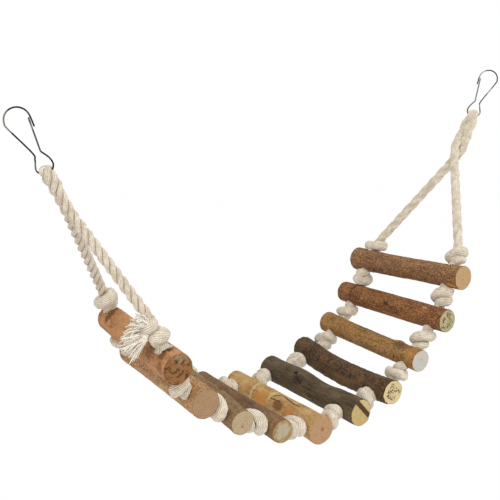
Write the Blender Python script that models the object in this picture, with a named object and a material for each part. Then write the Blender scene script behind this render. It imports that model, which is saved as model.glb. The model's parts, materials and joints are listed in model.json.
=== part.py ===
"""Bird ladder: branch rungs strung on one knotted cotton rope and hung by two wire snap hooks.

Metres, +Z up. The origin is where the left hook hangs. +X runs along the span from the left hook to the
right one, and +Y runs along the rungs from the front run of rope to the rear run.
"""

import math

import bmesh
import bpy
import numpy as np
from mathutils import Vector

MM = 0.001

# Line on which the rung centres hang, seen along the rungs
RUNG_COUNT = 10
LINK = 0.037
MIDDLE_SLOPE = math.radians(4.4)
LINK_TURN = math.radians(14.05)
END_CURL = math.radians(3.5)

# Rope legs between the end rungs and the hook eyes, and how far below an eye the two legs part
LEG_LENGTH = {"left": 0.1365, "right": 0.154}
LEG_SLOPE = {"left": math.radians(-64.3), "right": math.radians(60.9)}
LEG_PARTING = {"left": 0.030, "right": 0.046}
LEG_CROSSED = {"left": False, "right": True}

# Rungs
RUNG_LENGTH = 0.120
HOLE_INSET = 0.012
HOLE_DIAMETER = 0.0085
ROPE_OFFSET = RUNG_LENGTH / 2 - HOLE_INSET
RUNG_RINGS = 9

# Rope
LEG_RADIUS = 0.0029
KNOT_RADIUS = 0.0024
KNOT_POINTS = 25
KNOT_NECK = 0.28  # share of a knot's rope at each end that bends from the line of pull to its turns
KNOT_SPREAD = 0.0070
KNOT_LEAST_STRETCH = 0.0047
KNOT_FULL_STRETCH = 0.0050
END_KNOT_STRETCH = 0.0050
END_KNOT_RISE = 0.0030
KNOT_ROLL = math.radians(70)
END_KNOT_ROLL = {"front": math.radians(28), "rear": math.radians(91)}
PAIR_OFFSET = 0.0032
PAIR_CLOSING = 0.010
PARTING_OFFSET = 0.0012
TWIST_SPAN = 1.35  # the pair's twist runs this many times the parting distance below the eye
BIGHT_RADIUS = 0.0047
NECK_STUB = 0.001
JOIN_GAP = 0.0003
BIGHT_GAP = 0.0009
RUNG_GAP = 0.0006

# Wire snap hooks, across (towards the gate) and along (from the eye to the bow)
WIRE_RADIUS = 0.0007
BOW_RADIUS = 0.008
BOW_ACROSS = -0.0034
BOW_ALONG = 0.037
BOW_SWEEP = math.radians(200)
HOOK_SLOPE = math.radians(68.5)
HOOK_TURN = {"left": math.radians(15), "right": math.radians(50)}
CATCH_END = (0.0045, 0.0298)
GATE_TIP = (0.0027, 0.0362)
SHOULDER = (0.0017, 0.0142)
BACK_TO_EYE = ((-0.0034, 0.0152), (-0.0036, 0.0105), (-0.0057, 0.0042), (-0.0034, 0.0006), (0, 0))
EYE_TO_SHOULDER = ((0.0034, 0.0006), (0.0057, 0.0040), (0.0050, 0.0086))

# Frayed rope end, a flat fan beside the knot over the first rung
FRAY_LENGTH = 0.026
FRAY_ROOT_RADIUS = 0.0032
FRAY_TIP_RADIUS = 0.0125
FRAY_FLATNESS = 0.34
FRAY_FACE_SLOPE = math.radians(143)
FRAY_RUN = (0.78, 0.58, 0.22)
FRAY_ROOT_OUT = 0.0045
FRAY_ROOT_ALONG = 0.0098

# Each branch: diameter at its front end, middle and rear end, drop of its middle, rise of the whole rung
# and shift along itself in millimetres, then its skew in plan, its lean and how far its rope holes are
# turned about it in degrees, and its bark
RUNGS = (
    {"diameters": (21.4, 20.8, 20.0), "sag": 0.0, "rise": 1.0, "shift": -2.5, "skew": 1.2, "lean": 1.8,
     "turn": -12.0, "bark": "light_bark", "colour": (0.42, 0.20, 0.08)},
    {"diameters": (21.2, 20.6, 21.2), "sag": 0.0, "rise": 0.0, "shift": 2.5, "skew": 0.0, "lean": 1.2,
     "turn": 13.0, "bark": "pink_bark", "colour": (0.30, 0.17, 0.11)},
    {"diameters": (17.8, 17.8, 18.0), "sag": 0.0, "rise": 5.5, "shift": 0.5, "skew": 0.8, "lean": 2.8,
     "turn": 0.0, "bark": "olive_bark", "colour": (0.20, 0.13, 0.07)},
    {"diameters": (18.0, 16.4, 16.4), "sag": 0.0, "rise": 1.4, "shift": 0.0, "skew": -0.2, "lean": -0.3,
     "turn": 0.0, "bark": "purple_bark", "colour": (0.17, 0.10, 0.07)},
    {"diameters": (21.8, 19.8, 18.0), "sag": 0.0, "rise": -1.2, "shift": 0.0, "skew": 0.3, "lean": -0.6,
     "turn": 0.0, "bark": "bare_wood", "colour": (0.52, 0.33, 0.16)},
    {"diameters": (21.2, 21.2, 21.6), "sag": 0.2, "rise": 1.7, "shift": 1.0, "skew": -0.7, "lean": -0.5,
     "turn": 0.0, "bark": "grey_bark", "colour": (0.12, 0.10, 0.07)},
    {"diameters": (20.2, 20.6, 21.2), "sag": 3.9, "rise": -0.9, "shift": -2.0, "skew": 0.9, "lean": 0.7,
     "turn": 0.0, "bark": "dark_bark", "colour": (0.11, 0.08, 0.05)},
    {"diameters": (18.6, 17.4, 19.4), "sag": 0.6, "rise": 0.0, "shift": 0.0, "skew": 0.7, "lean": 0.9,
     "turn": 0.0, "bark": "golden_bark", "colour": (0.33, 0.18, 0.07)},
    {"diameters": (19.4, 19.8, 19.2), "sag": 0.4, "rise": 1.1, "shift": 0.0, "skew": -1.5, "lean": -0.8,
     "turn": 0.0, "bark": "red_bark", "colour": (0.25, 0.11, 0.05)},
    {"diameters": (20.2, 19.2, 21.4), "sag": 0.5, "rise": 0.4, "shift": 0.0, "skew": -2.3, "lean": -2.4,
     "turn": 0.0, "bark": "brown_bark", "colour": (0.28, 0.14, 0.07)},
)
ROPE_COLOUR = (0.72, 0.64, 0.52)
WIRE_COLOUR = (0.55, 0.55, 0.55)
SIDES = {"front": -1, "rear": 1}
ACROSS_RUNGS = Vector((0, 1, 0))


def new_collection(name):
    collection = bpy.data.collections.new(name)
    bpy.context.scene.collection.children.link(collection)
    return collection


def new_material(name, colour, roughness, metallic=0.0):
    material = bpy.data.materials.new(name)
    material.use_nodes = True
    shader = material.node_tree.nodes["Principled BSDF"]
    shader.inputs["Base Color"].default_value = (*colour, 1)
    shader.inputs["Roughness"].default_value = roughness
    shader.inputs["Metallic"].default_value = metallic
    material.diffuse_color = (*colour, 1)
    return material


def in_plane(slope):
    """Unit vector in the XZ plane at this slope."""
    return Vector((math.cos(slope), 0, math.sin(slope)))


def smooth_step(value):
    value = min(max(value, 0.0), 1.0)
    return value * value * (3 - 2 * value)


def smooth_line(points, steps):
    """Points of a Catmull-Rom curve through the given ones, with this many steps between neighbours."""
    points = [Vector(point) for point in points]
    before = [2 * points[0] - points[1]] + points[:-1]
    after = points[1:] + [2 * points[-1] - points[-2]]
    line = []
    for index in range(len(points) - 1):
        start, end = points[index], points[index + 1]
        leave = (after[index] - before[index]) / 2
        arrive = (after[index + 1] - before[index + 1]) / 2
        for step in range(steps):
            t = step / steps
            line.append(
                start * (2 * t**3 - 3 * t**2 + 1) + leave * (t**3 - 2 * t**2 + t)
                + end * (3 * t**2 - 2 * t**3) + arrive * (t**3 - t**2)
            )
    line.append(points[-1])
    return line


def tube(name, points, radii, resolution, material, collection, origin):
    """A round bar along the points, with its object's origin at the given place."""
    curve = bpy.data.curves.new(name, "CURVE")
    curve.dimensions = "3D"
    curve.bevel_depth = MM
    curve.bevel_resolution = resolution
    curve.use_fill_caps = True
    spline = curve.splines.new("POLY")
    spline.points.add(len(points) - 1)
    for place, point, radius in zip(spline.points, points, radii):
        place.co = (*(point - origin), 1)
        place.radius = radius / MM
    curve.materials.append(material)
    bar = bpy.data.objects.new(name, curve)
    bar.location = origin
    collection.objects.link(bar)
    return bar


def as_mesh(bar):
    """The bar as a welded mesh object of the same name, which can be cut."""
    name = bar.name
    collection = bar.users_collection[0]
    bpy.context.view_layer.update()
    mesh = bpy.data.meshes.new_from_object(bar.evaluated_get(bpy.context.evaluated_depsgraph_get()))
    cage = bmesh.new()
    cage.from_mesh(mesh)
    bmesh.ops.remove_doubles(cage, verts=cage.verts, dist=1e-6)
    bmesh.ops.recalc_face_normals(cage, faces=cage.faces)
    cage.to_mesh(mesh)
    cage.free()
    solid = bpy.data.objects.new(name, mesh)
    solid.matrix_world = bar.matrix_world
    bpy.data.objects.remove(bar)
    solid.name = name
    collection.objects.link(solid)
    mesh.shade_smooth()
    mesh.set_sharp_from_angle(angle=math.radians(40))
    return solid


def drill(solid, name, centre, direction, collection):
    """Cuts a rope hole through the solid."""
    mesh = bpy.data.meshes.new(name)
    cage = bmesh.new()
    bmesh.ops.create_cone(
        cage, cap_ends=True, segments=12, radius1=HOLE_DIAMETER / 2, radius2=HOLE_DIAMETER / 2,
        depth=2 * LINK,
    )
    cage.to_mesh(mesh)
    cage.free()
    cutter = bpy.data.objects.new(name, mesh)
    cutter.location = centre
    cutter.rotation_mode = "QUATERNION"
    cutter.rotation_quaternion = direction.to_track_quat("Z", "Y")
    cutter.hide_render = True
    cutter.display_type = "WIRE"
    collection.objects.link(cutter)
    cut = solid.modifiers.new(name, "BOOLEAN")
    cut.operation = "DIFFERENCE"
    cut.object = cutter


def tight_knot(count=64, length=13.0, rounds=1200, pull=0.01):
    """Centre line of an overhand knot drawn tight along X, in rope diameters.

    A loose overhand knot is shortened and pulled at both ends, while stretches of rope that meet push each
    other a diameter apart. Its turns are then centred on the line of pull.
    """
    t = np.linspace(-2.55, 2.55, count)
    line = np.stack([t**3 - 3 * t, 0.8 * (t**4 - 4 * t**2), 0.18 * (t**5 - 10 * t)], 1) / 2.2
    run = np.concatenate([[0], np.cumsum(np.linalg.norm(np.diff(line, axis=0), axis=1))])
    even = np.linspace(0, run[-1], count)
    line = np.stack([np.interp(even, run, line[:, axis]) for axis in range(3)], 1)
    first, second = np.triu_indices(count, 1)
    for turn in range(rounds):
        drawn = min(1.0, turn / (0.6 * rounds))
        step = ((1 - drawn) * run[-1] + drawn * length) / (count - 1)
        apart = second - first >= math.ceil(1.45 / step)
        a, b = first[apart], second[apart]
        line[0, 0] -= pull
        line[-1, 0] += pull
        line[[0, -1], 1:] *= 0.9
        for _ in range(3):
            line[1:-1] += 0.04 * (0.5 * (line[:-2] + line[2:]) - line[1:-1])
            across = line[b] - line[a]
            distance = np.linalg.norm(across, axis=1)
            near = distance < 1
            push = across[near] * (0.25 / distance[near] - 0.25)[:, None]
            np.add.at(line, b[near], push)
            np.add.at(line, a[near], -push)
            for offset in (0, 1):
                start = line[offset:-1:2]
                end = line[offset + 1 :: 2][: len(start)]
                along = end - start
                size = np.linalg.norm(along, axis=1)[:, None]
                mend = along * (0.5 - 0.5 * step / size)
                start += mend
                end -= mend
    line[[0, -1], 1:] = 0
    from_end = np.minimum(np.arange(count), np.arange(count)[::-1]) / (KNOT_NECK * count)
    share = np.array([smooth_step(part) for part in from_end])
    line[:, 1:] -= np.outer(share, (line[:, 1:].max(0) + line[:, 1:].min(0)) / 2)
    return line


def knot_points(shape, start, end, roll):
    """The tight knot's shape stretched between two points and rolled about the line that joins them.

    A shorter knot is wider and of thinner rope. The second value is that rope's radius.
    """
    axis = (end - start).normalized()
    side = (ACROSS_RUNGS - axis * axis.dot(ACROSS_RUNGS)).normalized()
    up = axis.cross(side)
    wide = side * math.cos(roll) + up * math.sin(roll)
    deep = up * math.cos(roll) - side * math.sin(roll)
    stretch = (end - start).length / (shape[-1, 0] - shape[0, 0])
    spread = KNOT_SPREAD * max(1.0, KNOT_LEAST_STRETCH / stretch)
    middle = (start + end) / 2
    points = [
        middle + axis * (float(x) * stretch) + (wide * float(y) + deep * float(z)) * spread
        for x, y, z in shape
    ]
    return points, KNOT_RADIUS * min(1.0, stretch / KNOT_FULL_STRETCH)


class Hook:
    """Frame of one snap hook: its eye, and the directions along it and across it."""

    def __init__(self, side, eye=None):
        self.side = side
        sign = 1 if side == "left" else -1
        self.along = Vector((-sign * math.cos(HOOK_SLOPE), 0, math.sin(HOOK_SLOPE)))
        flat = Vector((sign * math.sin(HOOK_SLOPE), 0, math.cos(HOOK_SLOPE)))
        turn = HOOK_TURN[side]
        self.across = flat * math.cos(turn) - ACROSS_RUNGS * (sign * math.sin(turn))
        hang = self.across * BOW_ACROSS + self.along * (BOW_ALONG + BOW_RADIUS - WIRE_RADIUS)
        self.eye = -hang if eye is None else eye
        self.hang_point = self.eye + hang
        self.normal = self.across.cross(self.along)

    def place(self, point):
        return self.eye + self.across * point[0] + self.along * point[1]


class Layout:
    """Where everything hangs: hooks, rung centres, rung axes and the directions of the rope holes."""

    def __init__(self):
        self.hooks = {"left": Hook("left")}
        point = self.hooks["left"].eye + in_plane(LEG_SLOPE["left"]) * LEG_LENGTH["left"]
        self.centres = []
        self.axes = []
        for index, rung in enumerate(RUNGS):
            if index:
                place = index - RUNG_COUNT / 2
                slope = MIDDLE_SLOPE + LINK_TURN * place + END_CURL * (place / 4) ** 3
                point = point + in_plane(slope) * LINK
            self.centres.append(point + Vector((0, 0, rung["rise"] * MM)))
            skew, lean = math.radians(rung["skew"]), math.radians(rung["lean"])
            axis = Vector((math.sin(skew), math.cos(skew) * math.cos(lean), math.sin(lean)))
            self.axes.append(axis.normalized())
        self.hooks["right"] = Hook("right", point + in_plane(LEG_SLOPE["right"]) * LEG_LENGTH["right"])
        chain = [self.hooks["left"].eye, *self.centres, self.hooks["right"].eye]
        ways = [(end - start).normalized() for start, end in zip(chain, chain[1:])]
        self.hole_directions = []
        for rung, come, go in zip(RUNGS, ways, ways[1:]):
            slope = math.atan2(come.z + go.z, come.x + go.x)
            self.hole_directions.append(in_plane(slope + math.radians(rung["turn"])))

    def hole(self, index, side):
        return self.centres[index] + self.axes[index] * (SIDES[side] * ROPE_OFFSET)

    def hole_mouth(self, index, side, way):
        """Where the rope leaves the rung: way is 1 towards the right end and -1 towards the left end."""
        reach = rung_radius(RUNGS[index], SIDES[side] * ROPE_OFFSET) + RUNG_GAP
        return self.hole(index, side) + self.hole_directions[index] * (way * reach)

    def rope_middle(self, index, side, way):
        """Where a knot's neck ends inside the rung, just short of the next knot's neck."""
        return self.hole(index, side) + self.hole_directions[index] * (way * JOIN_GAP / 2)


def rung_radius(rung, along):
    """Radius of a branch at a distance from its middle, through its three diameters."""
    front, middle, rear = (diameter * MM / 2 for diameter in rung["diameters"])
    t = 2 * along / RUNG_LENGTH
    return middle + (rear - front) / 2 * t + ((front + rear) / 2 - middle) * t * t


def make_rung(layout, index, parts, cutters):
    rung = RUNGS[index]
    name = f"rung_{index + 1:02d}"
    centre, axis = layout.centres[index], layout.axes[index]
    points = []
    radii = []
    for along in np.linspace(-RUNG_LENGTH / 2, RUNG_LENGTH / 2, RUNG_RINGS):
        bend = (along**2 - ROPE_OFFSET**2) / (RUNG_LENGTH / 2) ** 2
        drop = Vector((0, 0, rung["sag"] * MM * bend))
        points.append(centre + axis * (float(along) + rung["shift"] * MM) + drop)
        radii.append(rung_radius(rung, float(along)))
    material = new_material(rung["bark"], rung["colour"], 0.8)
    solid = as_mesh(tube(name, points, radii, 4, material, parts, centre))
    for side in SIDES:
        drill(solid, f"{name}_{side}_hole", layout.hole(index, side), layout.hole_directions[index], cutters)


def make_gap_knots(layout, shape, rope, parts):
    """One knot on each run of rope between neighbouring rungs, with its necks in their holes."""
    for index in range(RUNG_COUNT - 1):
        for side, sign in SIDES.items():
            start = layout.hole_mouth(index, side, 1)
            end = layout.hole_mouth(index + 1, side, -1)
            knot, radius = knot_points(shape, start, end, sign * (index + 1) * KNOT_ROLL)
            neck = layout.rope_middle(index, side, 1)
            points = [neck, *knot, layout.rope_middle(index + 1, side, -1)]
            middle = (start + end) / 2
            tube(f"{side}_knot_{index + 1}", points, [radius] * len(points), 1, rope, parts, middle)


def pair_point(hook, end, side, distance):
    """A leg's place this far below the hook's eye, where the two legs run side by side or twist together."""
    upward = -in_plane(LEG_SLOPE["left"]) if end == "left" else in_plane(LEG_SLOPE["right"])
    leftward = ACROSS_RUNGS.cross(upward)
    if leftward.x > 0:
        leftward = -leftward
    start = -HOOK_TURN[end]
    finish = math.pi
    if not LEG_CROSSED[end]:
        start += math.pi
    if side == "rear":
        start += math.pi
        finish += math.pi
    angle = start + (finish - start) * smooth_step(distance / (TWIST_SPAN * LEG_PARTING[end]))
    away = ACROSS_RUNGS * math.cos(angle) + leftward * math.sin(angle)
    reach = BIGHT_RADIUS + (PAIR_OFFSET - BIGHT_RADIUS) * smooth_step(distance / PAIR_CLOSING)
    reach += PARTING_OFFSET * smooth_step(2 * distance / LEG_PARTING[end] - 1)
    return hook.eye - upward * distance + away * reach, away, upward


def make_leg(layout, shape, end, side, rope, parts):
    """The knot on an end rung and the rope that runs from it up and over the hook's eye."""
    hook = layout.hooks[end]
    index, way = (0, -1) if end == "left" else (RUNG_COUNT - 1, 1)
    mouth = layout.hole_mouth(index, side, way)
    parting, _, _ = pair_point(hook, end, side, LEG_PARTING[end])
    direction = (parting - mouth).normalized()
    knot_foot = mouth + direction * END_KNOT_RISE
    knot_top = knot_foot + direction * END_KNOT_STRETCH * (shape[-1, 0] - shape[0, 0])
    middle = (knot_foot + knot_top) / 2
    knot, radius = knot_points(shape, knot_foot, knot_top, END_KNOT_ROLL[side])
    stub = knot_top + direction * NECK_STUB
    points = [layout.rope_middle(index, side, way), mouth, *knot, stub]
    tube(f"{end}_{side}_end_knot", points, [radius] * len(points), 1, rope, parts, middle)
    foot = stub + direction * JOIN_GAP
    guide = [foot.lerp(parting, share) for share in (0, 0.25, 0.5, 0.75, 0.9)]
    guide += [pair_point(hook, end, side, LEG_PARTING[end] * share)[0] for share in (1.0, 0.75, 0.5, 0.25)]
    _, away, upward = pair_point(hook, end, side, 0)
    top = math.pi / 2 - BIGHT_GAP / BIGHT_RADIUS
    for bend in np.linspace(0, top, 5):
        guide.append(hook.eye + (away * math.cos(bend) + upward * math.sin(bend)) * BIGHT_RADIUS)
    points = smooth_line(guide, 3)
    tube(f"{end}_{side}_leg", points, [LEG_RADIUS] * len(points), 2, rope, parts, foot)
    return middle


def make_hook(hook, wire, parts):
    """Bent wire from the catch over the bow, down the back and round the eye, with its springy gate."""
    bow = [
        (BOW_ACROSS + BOW_RADIUS * math.cos(angle), BOW_ALONG + BOW_RADIUS * math.sin(angle))
        for angle in np.linspace(0, BOW_SWEEP, 9)
    ]
    outline = [CATCH_END, *bow, *BACK_TO_EYE, *EYE_TO_SHOULDER, SHOULDER]
    points = smooth_line([hook.place(point) for point in outline], 3)
    tube(f"{hook.side}_hook", points, [WIRE_RADIUS] * len(points), 1, wire, parts, hook.hang_point)
    pivot = hook.place(SHOULDER)
    tip = hook.place(GATE_TIP)
    foot = pivot + (tip - pivot).normalized() * (JOIN_GAP + WIRE_RADIUS)
    tube(f"{hook.side}_hook_gate", [foot, foot.lerp(tip, 0.5), tip], [WIRE_RADIUS] * 3, 1, wire, parts, pivot)


def make_frayed_end(knot_middle, rope, parts):
    """Flat fan of loose yarn that lies from the front knot along and down the first rung's outer side."""
    outward = in_plane(FRAY_FACE_SLOPE)
    downward = outward.cross(ACROSS_RUNGS)
    along, down, inward = FRAY_RUN
    run = (ACROSS_RUNGS * along + downward * down - outward * inward).normalized()
    wide = outward.cross(run).normalized()
    thick = run.cross(wide)
    root = knot_middle + outward * FRAY_ROOT_OUT + run * FRAY_ROOT_ALONG
    cage = bmesh.new()
    bmesh.ops.create_cone(
        cage, cap_ends=True, segments=12, radius1=FRAY_ROOT_RADIUS, radius2=FRAY_TIP_RADIUS,
        depth=FRAY_LENGTH,
    )
    for vertex in cage.verts:
        x, y, z = vertex.co
        vertex.co = wide * x + thick * (y * FRAY_FLATNESS) + run * (z + FRAY_LENGTH / 2)
    mesh = bpy.data.meshes.new("frayed_end")
    cage.to_mesh(mesh)
    cage.free()
    mesh.materials.append(rope)
    fan = bpy.data.objects.new("frayed_end", mesh)
    fan.location = root
    parts.objects.link(fan)


def main():
    for old in list(bpy.data.objects):
        bpy.data.objects.remove(old)
    parts = new_collection("bird_ladder")
    cutters = new_collection("rope_hole_cutters")
    rope = new_material("cotton_rope", ROPE_COLOUR, 0.95)
    wire = new_material("hook_wire", WIRE_COLOUR, 0.3, 1.0)
    layout = Layout()
    shape = tight_knot()
    shape = shape[np.linspace(0, len(shape) - 1, KNOT_POINTS).round().astype(int)]
    for index in range(RUNG_COUNT):
        make_rung(layout, index, parts, cutters)
    make_gap_knots(layout, shape, rope, parts)
    for end, hook in layout.hooks.items():
        for side in SIDES:
            knot_middle = make_leg(layout, shape, end, side, rope, parts)
            if (end, side) == ("left", "front"):
                make_frayed_end(knot_middle, rope, parts)
        make_hook(hook, wire, parts)


main()
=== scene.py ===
import json
import math
import random

import bpy
import numpy as np
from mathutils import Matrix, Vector, noise


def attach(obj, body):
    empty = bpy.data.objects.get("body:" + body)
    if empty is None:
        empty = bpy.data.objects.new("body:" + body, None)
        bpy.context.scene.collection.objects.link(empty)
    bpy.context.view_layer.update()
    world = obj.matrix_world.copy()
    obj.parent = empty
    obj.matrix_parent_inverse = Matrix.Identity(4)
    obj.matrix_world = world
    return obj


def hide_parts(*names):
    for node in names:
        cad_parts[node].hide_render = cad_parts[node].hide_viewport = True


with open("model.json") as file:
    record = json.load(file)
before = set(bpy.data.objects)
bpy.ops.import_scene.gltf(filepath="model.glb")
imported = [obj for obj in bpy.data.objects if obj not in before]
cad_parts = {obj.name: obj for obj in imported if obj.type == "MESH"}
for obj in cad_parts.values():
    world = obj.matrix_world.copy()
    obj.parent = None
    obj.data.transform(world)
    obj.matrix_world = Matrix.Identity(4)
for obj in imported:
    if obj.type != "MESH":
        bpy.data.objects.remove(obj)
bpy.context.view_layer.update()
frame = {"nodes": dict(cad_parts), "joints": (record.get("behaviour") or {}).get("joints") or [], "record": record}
joints = {joint["name"]: joint for joint in frame["joints"]}
mounts = {mount["name"]: mount for mount in frame["record"]["mounts"]}
acrossRungs = Vector((0, 1, 0))  # from the front run of rope to the rear run
sideSign = {"front": -1, "rear": 1}
noise.seed_set(5)  # the same fuzz on the rope each time
print("frame loaded:", len(frame["nodes"]), "nodes")


# Camera at the photograph's place

cameraSetup = {
    "place": (-0.1229, -0.4570, 0.0033), "turn": 32.98, "dip": 11.49, "lens": 51.99, "sensor": 36,
    "nearest": 0.01,
}


def addCamera():
    data = bpy.data.cameras.new("ladderCamera")
    data.lens = cameraSetup["lens"]
    data.sensor_width = cameraSetup["sensor"]
    data.sensor_fit = "HORIZONTAL"
    data.clip_start = cameraSetup["nearest"]
    camera = bpy.data.objects.new("ladderCamera", data)
    camera.location = cameraSetup["place"]
    tilt, turn = math.radians(90 - cameraSetup["dip"]), math.radians(cameraSetup["turn"])
    camera.rotation_euler = (tilt, 0, -turn)
    bpy.context.scene.collection.objects.link(camera)
    bpy.context.scene.camera = camera


addCamera()
print("camera set")


# Shader maths: a Val is a socket that can be added, multiplied and so on

class Val:
    def __init__(self, net, socket):
        self.net = net
        self.socket = socket

    def math(self, operation, *others):
        return self.net.node("Math", {"operation": operation}, dict(enumerate((self, *others))))

    def __add__(self, other):
        return self.math("ADD", other)

    def __mul__(self, other):
        return self.math("MULTIPLY", other)

    def __sub__(self, other):
        return self.math("SUBTRACT", other)

    def __rsub__(self, other):
        return self.net.node("Math", {"operation": "SUBTRACT"}, {0: other, 1: self})

    __radd__ = __add__
    __rmul__ = __mul__

    def ramp(self, low, high):  # soft step from 0 at low to 1 at high
        limits = {0: self, 1: low, 2: high, 3: 0.0, 4: 1.0}
        return self.net.node("MapRange", {"interpolation_type": "SMOOTHSTEP"}, limits)


class Net:
    def __init__(self, name, kind="materials", shader="Principled BSDF"):
        self.owner = getattr(bpy.data, kind).new(name)
        self.owner.use_nodes = True
        self.tree = self.owner.node_tree
        self.shader = self.tree.nodes[shader]

    def feed(self, socket, value):  # a link from a Val, or a plain number or colour
        if isinstance(value, Val):
            self.tree.links.new(value.socket, socket)
        else:
            socket.default_value = value

    def node(self, kind, settings=None, inputs=None, output=0):
        made = self.tree.nodes.new("ShaderNode" + kind)
        for key, value in (settings or {}).items():
            setattr(made, key, value)
        for key, value in (inputs or {}).items():
            self.feed(made.inputs[key], value)
        return Val(self, made.outputs[output])

    def stretched(self, scale):  # object coordinates, scaled alike or along each axis
        place = self.node("TexCoord", output=3)
        return self.node("Mapping", None, {0: place, 3: scale if isinstance(scale, tuple) else (scale,) * 3})

    def noise(self, scale, detail=3.0, rough=0.55, bend=0.0):
        look = {"Scale": 1.0, "Detail": detail, "Roughness": rough, "Distortion": bend}
        return self.node("TexNoise", None, {0: self.stretched(scale), **look})

    def specks(self, scale):  # distance to the nearest of scattered points
        return self.node("TexVoronoi", None, {0: self.stretched(scale), "Scale": 1.0})

    def painted(self, name, output=2):  # a value that the mesh carries at its points
        return self.node("Attribute", {"attribute_name": name}, output=output)

    def measure(self, operation, *vectors):  # one number from vectors, such as a length
        return self.node("VectorMath", {"operation": operation}, dict(enumerate(vectors)), output=1)

    def mix(self, share, first, second):
        return self.node("Mix", {"data_type": "RGBA"}, {0: share, 6: first, 7: second}, output=2)

    def set(self, **values):
        for key, value in values.items():
            self.feed(self.shader.inputs[key.replace("_", " ")], value)

    def bump(self, height, depth):
        self.set(Normal=self.node("Bump", None, {"Strength": 1.0, "Distance": depth, "Height": height}))


def tone(red, green, blue):  # a display colour, 0 to 255, as a linear colour
    def linear(part):
        part /= 255
        return part / 12.92 if part <= 0.04045 else ((part + 0.055) / 1.055) ** 2.4

    return (linear(red), linear(green), linear(blue), 1.0)


# Points along a rope or a wire

def smoothLine(points, steps):
    points = [Vector(point) for point in points]
    before = [2 * points[0] - points[1]] + points[:-1]
    after = points[1:] + [2 * points[-1] - points[-2]]
    line = []
    for index in range(len(points) - 1):
        start, end = points[index], points[index + 1]
        leave = (after[index] - before[index]) / 2
        arrive = (after[index + 1] - before[index + 1]) / 2
        for step in range(steps):
            t = step / steps
            line.append(
                start * (2 * t**3 - 3 * t**2 + 1) + leave * (t**3 - 2 * t**2 + t)
                + end * (3 * t**2 - 2 * t**3) + arrive * (t**3 - t**2)
            )
    return line + [points[-1]]


def evenLine(points, gap):  # the same line with points an even distance apart
    line = np.array([tuple(point) for point in points])
    run = np.concatenate([[0], np.cumsum(np.linalg.norm(np.diff(line, axis=0), axis=1))])
    count = max(4, int(run[-1] / gap))
    even = np.linspace(0, run[-1], count)
    return np.stack([np.interp(even, run, line[:, axis]) for axis in range(3)], 1), run[-1]


def smoothStep(value):
    value = min(max(value, 0.0), 1.0)
    return value * value * (3 - 2 * value)


def deselect():
    bpy.ops.object.select_all(action="DESELECT")


def onlySelect(*objects):
    deselect()
    for obj in objects:
        obj.select_set(True)
    bpy.context.view_layer.objects.active = objects[0]


def asMesh(obj):
    onlySelect(obj)
    bpy.ops.object.convert(target="MESH")
    return bpy.context.object


def pointsOf(obj):
    points = np.empty(len(obj.data.vertices) * 3)
    obj.data.vertices.foreach_get("co", points)
    return points.reshape(-1, 3)


def setPoints(obj, points):
    obj.data.vertices.foreach_set("co", np.asarray(points, np.float32).ravel())
    obj.data.update()


def mend(obj):  # joins doubled points, such as those round an end cap
    onlySelect(obj)
    bpy.ops.object.mode_set(mode="EDIT")
    bpy.ops.mesh.select_all(action="SELECT")
    bpy.ops.mesh.remove_doubles(threshold=1e-7)
    bpy.ops.object.mode_set(mode="OBJECT")


def smoothFaces(obj, angle=None):  # all over, or only across edges flatter than this
    onlySelect(obj)
    if angle is None:
        bpy.ops.object.shade_smooth()
    else:
        bpy.ops.object.shade_smooth_by_angle(angle=math.radians(angle))


def newCurve(name, **settings):
    curve = bpy.data.curves.new(name, "CURVE")
    for key, value in settings.items():
        setattr(curve, key, value)
    return curve


def addSpline(curve, points):  # straight from each point to the next
    spline = curve.splines.new("POLY")
    spline.points.add(len(points) - 1)
    for place, point in zip(spline.points, points):
        place.co = (*point, 1)
    return spline


def placeCurve(name, curve):
    obj = bpy.data.objects.new(name, curve)
    bpy.context.scene.collection.objects.link(obj)
    return obj


def finishWith(obj, *materials):
    obj.data.materials.clear()
    for material in materials:
        obj.data.materials.append(material)


def dress(obj, body, slot, *nodes):
    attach(obj, body)
    if nodes:
        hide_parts(*nodes)
    return obj


# Hooks: each one a bent wire with a gate

hookShape = {
    "wire": 0.00056,
    "sides": 4,  # of a quarter of the wire
    "smooth": 50,
    "plating": (29, 30, 29),
    "gatePlating": (92, 92, 84),
    "highlightSide": (-0.45, 0.10, 0.89),  # side of the wire that is painted lighter, a painted highlight
    "bow": {"radius": 0.008, "across": -0.0034, "along": 0.037, "sweep": 200, "points": 9},
    "slope": 68.5,
    "turn": {"left": 15, "right": 50},
    "catchEnd": (0.0045, 0.0298),
    "gateTip": (0.0034, 0.0362),
    "shoulder": (0.0017, 0.0142),
    "backToEye": ((-0.0034, 0.0152), (-0.0036, 0.0105), (-0.0057, 0.0042), (-0.0034, 0.0006), (0, 0)),
    "eyeToShoulder": ((0.0034, 0.0006), (0.0057, 0.0040), (0.0050, 0.0086)),
    "steps": 8,  # from each of these points to the next
    "gateSteps": 6,
}


def hookFrame(end):
    sign = 1 if end == "left" else -1
    slope, turn = math.radians(hookShape["slope"]), math.radians(hookShape["turn"][end])
    along = Vector((-sign * math.cos(slope), 0, math.sin(slope)))
    flat = Vector((sign * math.sin(slope), 0, math.cos(slope)))
    across = flat * math.cos(turn) - acrossRungs * (sign * math.sin(turn))
    bow = hookShape["bow"]
    reach = across * bow["across"] + along * (bow["along"] + bow["radius"] - hookShape["wire"])
    eye = Vector(mounts[end + "_hang_point"]["pos_m"]) - reach
    return {"eye": eye, "across": across, "along": along}


hooks = {end: hookFrame(end) for end in ("left", "right")}


def hookPoint(end, point):
    hook = hooks[end]
    return hook["eye"] + hook["across"] * point[0] + hook["along"] * point[1]


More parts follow.
